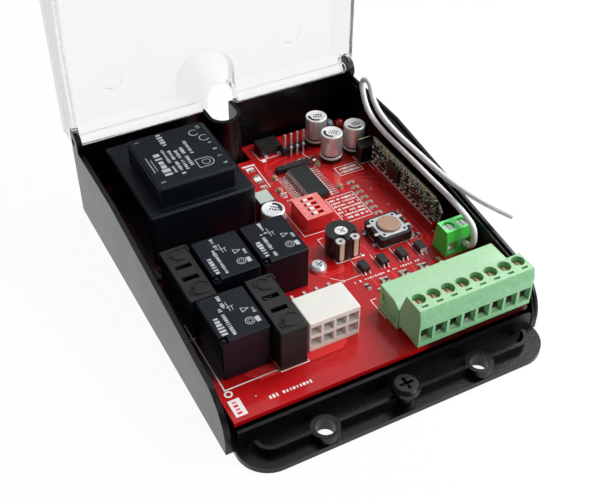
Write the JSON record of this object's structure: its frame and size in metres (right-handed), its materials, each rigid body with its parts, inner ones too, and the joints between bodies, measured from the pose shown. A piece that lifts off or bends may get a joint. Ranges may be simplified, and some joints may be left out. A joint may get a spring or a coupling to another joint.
{
  "type": "shutter motor control panel",
  "caption": "Wall control panel for a motorised shutter: black tray, clear hinged lid held open, red circuit board with transformer, relays, fuse holders, terminals and a loose aerial wire.",
  "frame": {"origin": "On the flat back of the tray, at the middle of its width and of its length", "axes": "X right along the hinge, Y from the mounting flange to the hinge, Z out of the wall"},
  "size_m": [0.1148, 0.1454, 0.1581],
  "materials": {
    "black_plastic": "satin moulded",
    "clear_plastic": "clear moulded",
    "steel": "tinned",
    "red_board": "gloss lacquer",
    "dark_plastic": "fine grain",
    "fuse_plastic": "fine grain",
    "core_steel": "laminated",
    "copper": "enamelled wire",
    "fuse_glass": "clear tube",
    "white_plastic": "natural",
    "green_plastic": "satin",
    "bright_green_plastic": "satin",
    "radio_green": "gloss lacquer",
    "chip_black": "moulded",
    "red_plastic": "gloss",
    "tan_plastic": "satin",
    "pale_plastic": "satin",
    "can_sleeve": "drawn can",
    "lamp_red": "tinted clear",
    "brass": "plain",
    "wire_white": "smooth insulation"
  },
  "bodies": {
    "case": {"base_tray": "black_plastic", "tray_side_walls": "black_plastic", "tray_back_wall": "black_plastic", "board_screws": "steel", "circuit_board": "red_board", "transformer_case": "dark_plastic", "transformer_base": "dark_plastic", "transformer_core": "core_steel", "transformer_winding": "copper", "relay_cases": "dark_plastic", "relay_bases": "dark_plastic", "relay_coils": "copper", "fuse_bases": "dark_plastic", "fuse_clips": "steel", "fuse_links": "fuse_glass", "power_socket": "white_plastic", "power_pins": "steel", "terminal_header": "green_plastic", "terminal_pins": "steel", "aerial_terminal": "bright_green_plastic", "aerial_cages": "steel", "radio_board": "radio_green", "radio_parts": "chip_black", "controller_chip": "chip_black", "dip_switch": "red_plastic", "button_body": "chip_black", "button_plate": "steel", "button_dome": "steel", "trimmer_body": "chip_black", "trimmer_legs": "steel", "electrolytic_capacitors": "can_sleeve", "film_capacitors": "pale_plastic", "bridge_rectifier": "chip_black", "pin_header": "chip_black", "opto_couplers": "chip_black", "signal_lamp": "lamp_red", "chip_parts": "steel", "aerial_wire": "wire_white"},
    "lid": {"lid": "clear_plastic"},
    "lid_screw": {"lid_screw": "black_plastic"},
    "button_cap": {"button_cap": "tan_plastic"},
    "trimmer_rotor": {"trimmer_rotor": "pale_plastic"},
    "terminal_plug": {"terminal_plug": "green_plastic", "plug_cages": "steel"},
    "dip_slider_1": {"dip_slider_1": "white_plastic"},
    "dip_slider_2": {"dip_slider_2": "white_plastic"},
    "dip_slider_3": {"dip_slider_3": "white_plastic"},
    "dip_slider_4": {"dip_slider_4": "white_plastic"},
    "plug_screw_1": {"plug_screw_1": "brass"},
    "plug_screw_2": {"plug_screw_2": "brass"},
    "plug_screw_3": {"plug_screw_3": "brass"},
    "plug_screw_4": {"plug_screw_4": "brass"},
    "plug_screw_5": {"plug_screw_5": "brass"},
    "plug_screw_6": {"plug_screw_6": "brass"},
    "plug_screw_7": {"plug_screw_7": "brass"},
    "plug_screw_8": {"plug_screw_8": "brass"},
    "aerial_screw_1": {"aerial_screw_1": "steel"},
    "aerial_screw_2": {"aerial_screw_2": "steel"},
    "fuse_cover_1": {"fuse_cover_1": "fuse_plastic"},
    "fuse_cover_2": {"fuse_cover_2": "fuse_plastic"}
  },
  "joints": [
    {"name": "lid_hinge", "type": "hinge", "parent": "case", "child": "lid", "pos_m": [0, 0.0653, 0.0309], "axis": [1, 0, 0], "range_deg": [0, 90]},
    {"name": "lid_screw_turn", "type": "hinge", "parent": "case", "child": "lid_screw", "pos_m": [0, -0.063, 0.006], "axis": [0, 0, 1], "continuous": true},
    {"name": "button_press", "type": "slide", "parent": "case", "child": "button_cap", "axis": [0, 0, -1], "range_m": [0, 0.00035], "stiffness_N_per_m": 3000, "springref_m": -0.0002, "deforming": ["button_dome"]},
    {"name": "trimmer_turn", "type": "hinge", "parent": "case", "child": "trimmer_rotor", "pos_m": [0.0115, -0.0044, 0.017], "axis": [0, 0, 1], "range_deg": [-115, 115]},
    {"name": "plug_pull", "type": "slide", "parent": "case", "child": "terminal_plug", "axis": [0, 1, 0], "range_m": [-0.011, 0]},
    {"name": "dip_slide_1", "type": "slide", "parent": "case", "child": "dip_slider_1", "axis": [1, 0, 0], "range_m": [0, 0.0015]},
    {"name": "dip_slide_2", "type": "slide", "parent": "case", "child": "dip_slider_2", "axis": [1, 0, 0], "range_m": [0, 0.0015]},
    {"name": "dip_slide_3", "type": "slide", "parent": "case", "child": "dip_slider_3", "axis": [1, 0, 0], "range_m": [0, 0.0015]},
    {"name": "dip_slide_4", "type": "slide", "parent": "case", "child": "dip_slider_4", "axis": [1, 0, 0], "range_m": [0, 0.0015]},
    {"name": "plug_screw_turn_1", "type": "hinge", "parent": "terminal_plug", "child": "plug_screw_1", "pos_m": [0.01142, -0.0495, 0.021], "axis": [0, 0, 1], "continuous": true},
    {"name": "plug_screw_turn_2", "type": "hinge", "parent": "terminal_plug", "child": "plug_screw_2", "pos_m": [0.0165, -0.0495, 0.021], "axis": [0, 0, 1], "continuous": true},
    {"name": "plug_screw_turn_3", "type": "hinge", "parent": "terminal_plug", "child": "plug_screw_3", "pos_m": [0.02158, -0.0495, 0.021], "axis": [0, 0, 1], "continuous": true},
    {"name": "plug_screw_turn_4", "type": "hinge", "parent": "terminal_plug", "child": "plug_screw_4", "pos_m": [0.02666, -0.0495, 0.021], "axis": [0, 0, 1], "continuous": true},
    {"name": "plug_screw_turn_5", "type": "hinge", "parent": "terminal_plug", "child": "plug_screw_5", "pos_m": [0.03174, -0.0495, 0.021], "axis": [0, 0, 1], "continuous": true},
    {"name": "plug_screw_turn_6", "type": "hinge", "parent": "terminal_plug", "child": "plug_screw_6", "pos_m": [0.03682, -0.0495, 0.021], "axis": [0, 0, 1], "continuous": true},
    {"name": "plug_screw_turn_7", "type": "hinge", "parent": "terminal_plug", "child": "plug_screw_7", "pos_m": [0.0419, -0.0495, 0.021], "axis": [0, 0, 1], "continuous": true},
    {"name": "plug_screw_turn_8", "type": "hinge", "parent": "terminal_plug", "child": "plug_screw_8", "pos_m": [0.04698, -0.0495, 0.021], "axis": [0, 0, 1], "continuous": true},
    {"name": "aerial_screw_turn_1", "type": "hinge", "parent": "case", "child": "aerial_screw_1", "pos_m": [0.0426, -0.0201, 0.017], "axis": [0, 0, 1], "continuous": true},
    {"name": "aerial_screw_turn_2", "type": "hinge", "parent": "case", "child": "aerial_screw_2", "pos_m": [0.0477, -0.0201, 0.017], "axis": [0, 0, 1], "continuous": true},
    {"name": "fuse_cover_lift_1", "type": "slide", "parent": "case", "child": "fuse_cover_1", "axis": [0, 0, 1], "range_m": [0, 0.012]},
    {"name": "fuse_cover_lift_2", "type": "slide", "parent": "case", "child": "fuse_cover_2", "axis": [0, 0, 1], "range_m": [0, 0.012]}
  ]
}
